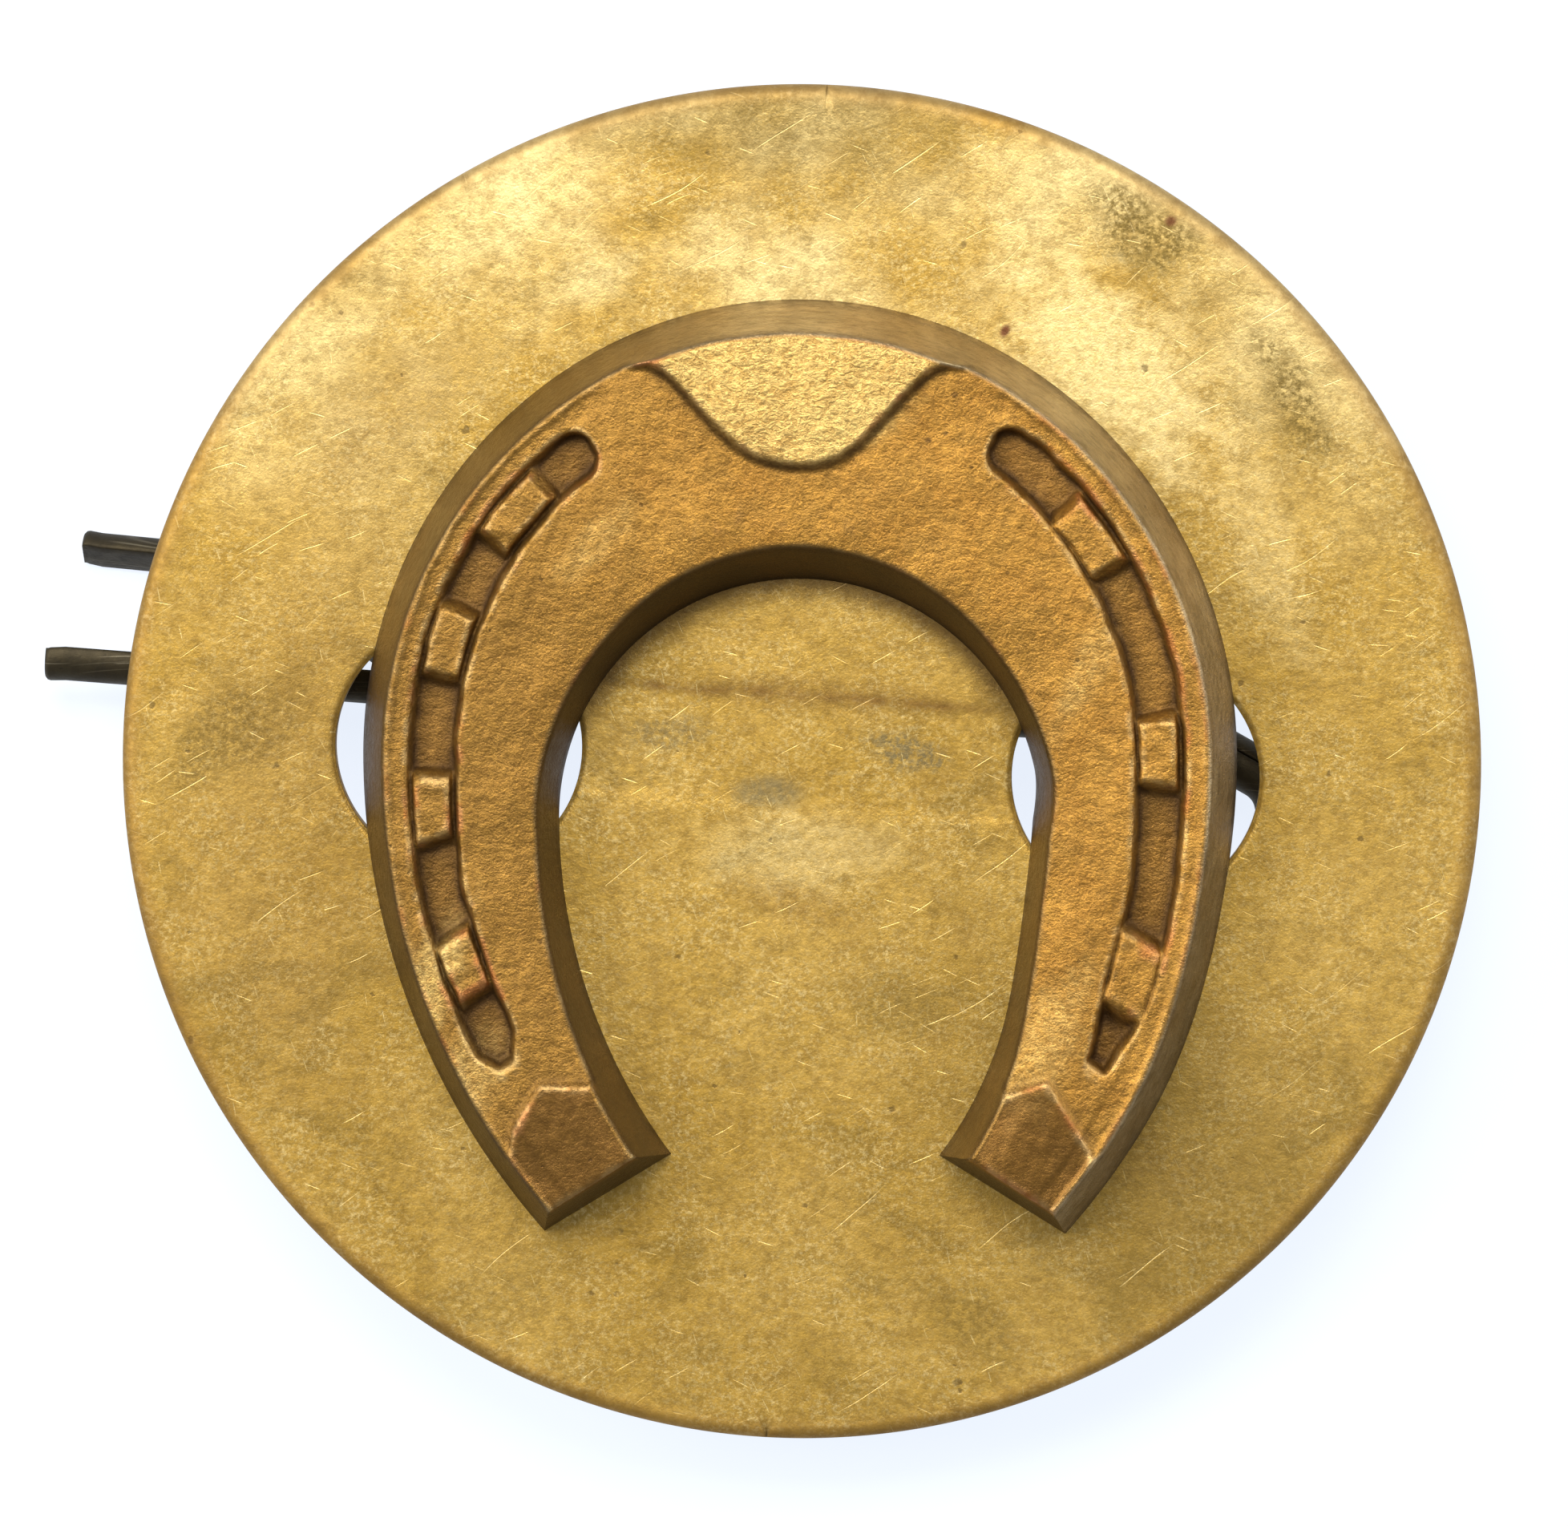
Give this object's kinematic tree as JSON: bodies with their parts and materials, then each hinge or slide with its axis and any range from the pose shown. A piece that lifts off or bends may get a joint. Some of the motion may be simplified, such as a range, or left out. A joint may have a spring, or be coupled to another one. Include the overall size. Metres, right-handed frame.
{
  "type": "horseshoe badge with backing plate",
  "caption": "Struck horseshoe badge in relief on a round drilled backing plate, held through two wire loops by a splayed split pin.",
  "frame": {"origin": "centre of the backing plate's front face, on which the back rim of the shoe lies", "axes": "+Z out of the face of the badge, +Y from the heels to the toe of the shoe, +X from the splayed ends of the pin towards its eye"},
  "size_m": [0.0607, 0.0572, 0.0098],
  "materials": {
    "shoe_brass": "struck brass, darkened, fine die grain",
    "plate_brass": "aged sheet brass, satin with light scratches",
    "loop_wire": "drawn wire, dull",
    "braze": "dull braze",
    "pin_wire": "half-round wire, heavily tarnished"
  },
  "bodies": {
    "badge": {"horseshoe": "shoe_brass", "left_loop": "loop_wire", "right_loop": "loop_wire", "left_loop_solder": "braze", "right_loop_solder": "braze"},
    "plate": {"backing_plate": "plate_brass"},
    "pin": {"split_pin": "pin_wire"}
  },
  "joints": [
    {"name": "plate_play", "type": "slide", "parent": "badge", "child": "plate", "axis": [0, 0, 1], "range_m": [-0.0008, 0]},
    {"name": "pin_slide", "type": "slide", "parent": "badge", "child": "pin", "axis": [0.999, -0.0455, 0], "range_m": [-0.001, 0.0015]}
  ]
}
